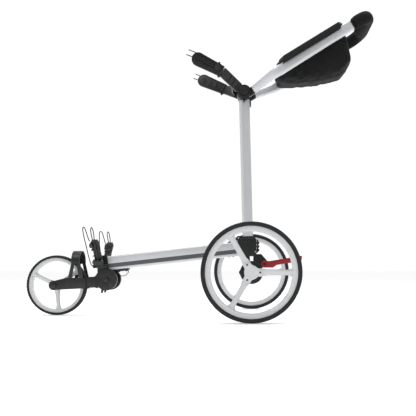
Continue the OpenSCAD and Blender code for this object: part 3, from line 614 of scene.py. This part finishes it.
def upper_wing(side, mirror):
    k = Kit()
    k.prism(paddle(6, 84, 19, 22), -5.2, 0)
    k.prism(paddle(6, 84, 18, 21), -7, -5.2)
    for z in (-9, 8):
        k.bar((2, z), (97, z), 3.2, -9.2, -6.8)
    for z in (-17, 16):
        k.bar((0, z * 0.94), (88, z * 1.08), 1.6, -8.0, -6.8)
    k.box((29, -8.2, -7), (31, -6.8, 6))
    k.box((60, -7.6, -7), (61.4, -6.8, 6))
    # Inner face: a border, a cross band at the root and a row of sockets for the bumps.
    for z in (-19, 19):
        k.bar((0, z * 0.9), (86, z * 1.06), 2, 0, 1.8)
    k.bar((4, -17), (9, 17), 4, 0, 2.6)
    k.bar((9, -17), (24, 17), 2, 0, 1.4)
    k.bar((24, 17), (26, -17), 1.6, 0, 1.4)
    k.make("upper_wing_" + side + "_piece", WING, "upper_cradle", "dark_nylon",
           ("upper_wing_" + side,), 0.7, mirror)
    k = Kit()
    for x in (38, 60, 82):
        k.dome((x, 0, 0), (7.5, 5, 10.5))
        k.prism([(x + p[0], p[1] * 1.35) for p in arc(0, 0, 8.6, 0, 342, 19)], 0, 0.9)
    k.make("upper_bumps_" + side, WING, "upper_cradle", "rubber", (), 0, mirror)
    k = Kit()
    k.prism([(10, -17), (28, -17), (28, 5), (25, 6), (10, 6)], -13.5, -7)
    k.prism([(12, -15), (26, -15), (26, 3), (12, 3)], -15, -13.5, 0.92)
    for z in (-11, -6, -1):
        k.bar((13, z), (25, z), 1.4, -15.7, -14.8)
    k.rod((20, -11.5, -18.6), (20, -11.5, 7.4), 2.6, 20)
    k.prism([(5.5, -12), (11, -14), (11, 5), (5.5, 3)], -12, -7)
    k.rod((3, -4, 19), (3, -1, 19), 4.2, 20)
    k.rod((18, -12, -19), (18, -8, -19), 3, 16)
    k.make("upper_buckle_" + side, WING, "upper_cradle", "dark_nylon", (), 0.6, mirror)


UPPER_ROUTE = [
    (124, -5, -12), (116, -7.4, -12.6), (106, -9, -13), (92, -10, -13), (60, -11, -13), (34, -12, -14),
    (30.6, -12.4, -5.5), (34, -12, 3), (60, -11, 4), (92, -10, 4), (106, -9, 4), (116, -7.4, 4.4),
    (124, -5, 5),
]
for side, mirror in SIDES:
    upper_wing(side, mirror)
    elastic("upper_elastic_" + side, [WING @ mm(x, y - 1.6, z) for x, y, z in UPPER_ROUTE],
            "upper_cradle", "upper_cord_" + side, mirror)

# ---------- Lower bag cradle ----------

LOWER = (Matrix.Translation(mm(-328, -36, 167)) @ Matrix.Rotation(math.radians(37), 4, "X"))


def lower_wing(side, mirror):
    body = "lower_wing_l" if side == "left" else "lower_wing_r"
    k = Kit()
    k.rod((-15.5, 0, 0), (15.5, 0, 0), 6.5, 32)
    k.prism([(-13, 4), (13, 4), (12, 60), (14, 94), (9, 106), (-9, 106), (-18, 92), (-12, 60)], -2, 3)
    k.prism([(-11, 6), (11, 6), (10, 60), (12, 93), (8, 104), (-8, 104), (-16, 91), (-10, 60)],
            -3.2, -2)
    k.box((-2, -8, 8), (2, -3, 98))
    for x in (-8.5, 7):
        k.bar((x, 32), (x * 1.15, 92), 1.8, -5.2, -3)
    for z in range(36, 96, 6):
        k.box((-8, -4.2, z), (7, -3, z + 1.8))
    k.prism([(-19, 80), (-8, 80), (-8, 96), (-19, 92)], -9, -2)
    k.box((-16, -6, 66), (-11, -2, 71))
    # The inner face carries a herringbone of ribs near its tip.
    for z in range(50, 104, 6):
        k.bar((-11, z - 5), (0, z), 1.8, 3, 4.4)
        k.bar((0, z), (11, z - 5), 1.8, 3, 4.4)
    k.make("lower_wing_" + side + "_piece", LOWER, body, "black_nylon", ("lower_wing_" + side,),
           0.6, mirror)
    k = Kit()
    for z in (44, 66, 88):
        k.dome((0, 3, z), (7, 4, 7.5))
    k.make("lower_bumps_" + side, LOWER, body, "rubber", (), 0, mirror)
    k = Kit()
    k.prism([(-18, 11), (15, 11), (15, 29), (11, 31), (-15, 31), (-18, 28)], -11.5, -4)
    k.prism([(-14, 14), (11, 14), (11, 28), (-14, 28)], -13, -11.5, 0.94)
    k.rod((-20, -9, 21), (17, -9, 21), 3, 20)
    for x in (-9, -3, 3):
        k.box((x, -13.8, 15), (x + 1.6, -12.8, 27))
    k.make("lower_buckle_" + side, LOWER, body, "dark_nylon", (), 0.6, mirror)


LONG_LOOP = [
    (-345, -98, 247), (-350, -102, 262), (-358, -103, 287), (-363, -102, 292), (-367, -99, 287),
    (-365, -92, 262), (-361, -80, 231), (-356, -66, 193), (-351, -55, 171), (-342, -43, 161.6),
]
SMALL_LOOP = [
    (-335, -101.6, 252.9), (-338, -102.6, 267), (-340, -103, 284), (-337, -104, 291),
    (-333, -104, 284), (-330, -102.6, 267), (-329, -101.6, 252.9),
]
for side, mirror in SIDES:
    lower_wing(side, mirror)
    body = "lower_wing_l" if side == "left" else "lower_wing_r"
    elastic("lower_elastic_" + side, [mm(*p) for p in LONG_LOOP], body, "lower_cord_" + side, mirror)
    elastic("tip_loop_" + side, [mm(*p) for p in SMALL_LOOP], body, "lower_loop_" + side, mirror)

# ---------- Soft goods ----------


def grip_piece():
    """The foam grip: an oval bow, widened inward at its crossbar, with softened ends."""
    z0, y0, corner = -13, 86, 46
    line = [(412, -y0)]
    straight = 494 - 16 - corner
    line += [(412 + (straight - 412) * i / 3, -y0) for i in (1, 2)]
    line += arc(straight, -(y0 - corner), corner, -90, 0, 12)
    line += [(straight + corner, -(y0 - corner) + 2 * (y0 - corner) * i / 10) for i in range(1, 10)]
    line += arc(straight, y0 - corner, corner, 0, 90, 12)
    line += [(412 + (straight - 412) * i / 3, y0) for i in (2, 1)] + [(412, y0)]
    pts = [Vector((x, y, z0)) for x, y in line]
    n, sides = len(pts), 40
    verts, faces = [], []
    total = run_length(pts)
    done = 0
    for i, p in enumerate(pts):
        if i:
            done += (p - pts[i - 1]).length
        t = (pts[min(i + 1, n - 1)] - pts[max(i - 1, 0)]).normalized()
        out = Vector((t.y, -t.x, 0))
        end = min(done, total - done)
        soft = min(1, 0.86 + 0.014 * end)
        wide = max(0.0, math.cos(math.pi * (done / total - 0.5)) - 0.45) / 0.55
        for k in range(sides):
            a = 2 * math.pi * k / sides
            inward = 24 * wide * max(0.0, -math.cos(a)) ** 0.6
            v = p + out * (15.8 * soft * math.cos(a) - inward) + Vector((0, 0, 21.3 * soft * math.sin(a)))
            verts.append(HANDLE @ (v / 1000))
    for i in range(n - 1):
        for k in range(sides):
            m = (k + 1) % sides
            faces.append((i * sides + k, i * sides + m, (i + 1) * sides + m, (i + 1) * sides + k))
    faces.append(tuple(range(sides)))
    faces.append(tuple(range((n - 1) * sides, n * sides))[::-1])
    obj = add_mesh("grip_piece", verts, faces, "handle", "foam", ("grip_foam",))
    return obj


grip_piece()


def pouch_piece():
    """The hanging pouch, filled by a short cloth run so that its sides bag and crease."""
    source = frame["nodes"]["pouch"]
    mesh = source.data.copy()
    mesh.name = "pouch_piece"
    obj = bpy.data.objects.new("pouch_piece", mesh)
    bpy.context.scene.collection.objects.link(obj)
    remesh = obj.modifiers.new("remesh", "REMESH")
    remesh.mode = "VOXEL"
    remesh.voxel_size = 0.0055
    round_off = obj.modifiers.new("round_off", "SMOOTH")
    round_off.factor = 0.5
    round_off.iterations = 9
    dg = bpy.context.evaluated_depsgraph_get()
    obj.data = bpy.data.meshes.new_from_object(obj.evaluated_get(dg))
    obj.modifiers.clear()
    rest = np.array([v.co for v in obj.data.vertices])
    local = np.array([HANDLE.inverted() @ Vector(v) for v in rest]) * 1000
    pins = obj.vertex_groups.new(name="held")
    for i, q in enumerate(local):
        hold = 1.0 if q[2] > -22 else 0.0
        seam = abs(abs(q[1]) - 37) < 4 and q[2] < -45
        pins.add([i], hold if hold else (0.35 if seam else 0.0), "REPLACE")
    cloth = obj.modifiers.new("cloth", "CLOTH")
    s = cloth.settings
    s.quality = 6
    s.mass = 0.25
    s.tension_stiffness = 12
    s.compression_stiffness = 6
    s.shear_stiffness = 4
    s.bending_stiffness = 0.8
    s.vertex_group_mass = "held"
    s.use_pressure = True
    s.uniform_pressure_force = 3.5
    s.shrink_min = -0.06
    s.effector_weights.gravity = 0
    cloth.collision_settings.use_collision = False
    for f in range(1, 21):
        bpy.context.scene.frame_set(f)
    dg = bpy.context.evaluated_depsgraph_get()
    done = np.array([v.co for v in obj.evaluated_get(dg).data.vertices])
    obj.modifiers.clear()
    bpy.context.scene.frame_set(1)
    move = done - rest
    size = np.linalg.norm(move, axis=1, keepdims=True)
    cap = 0.0045
    moved = rest + move * np.minimum(1, cap / np.maximum(size, 1e-9))
    for v, co in zip(obj.data.vertices, moved):
        v.co = co
    obj.vertex_groups.clear()
    smooth = obj.modifiers.new("sub", "SUBSURF")
    smooth.levels = smooth.render_levels = 1
    dg = bpy.context.evaluated_depsgraph_get()
    obj.data = bpy.data.meshes.new_from_object(obj.evaluated_get(dg))
    obj.modifiers.clear()
    obj.data.materials.clear()
    obj.data.materials.append(MATERIALS["fabric"])
    for p in obj.data.polygons:
        p.use_smooth = True
    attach(obj, "handle")
    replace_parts(obj, "pouch")
    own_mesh(obj)
    return obj


pouch_piece()

# ---------- Hard parts, with rounded edges ----------

DONE = {n for o in bpy.data.objects for n in o.get("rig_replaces", [])}
# Edge rounding in millimetres where it differs from the usual 0.6.
THIN = {"tube_inlays": 0.15, "frame_screws": 0.3, "catch_bail": 0.2, "rear_hub_left": 0.35,
        "rear_hub_right": 0.35, "hinge_pins": 0.4, "column_latch": 0.5, "console_tray": 1.0,
        "console_lid": 1.2, "rear_block": 1.0, "axle_bracket": 1.0, "main_tube": 0.3,
        "brake_pedal": 1.2, "base_rest": 1.2, "fork_left": 1.2, "fork_right": 1.2}
for node in frame["nodes"]:
    if node not in DONE:
        soften(node, THIN.get(node, 0.6) / 1000)

for node, obj in frame["nodes"].items():
    for slot in obj.material_slots:
        slot.material = MATERIALS[SLOTS[node]]
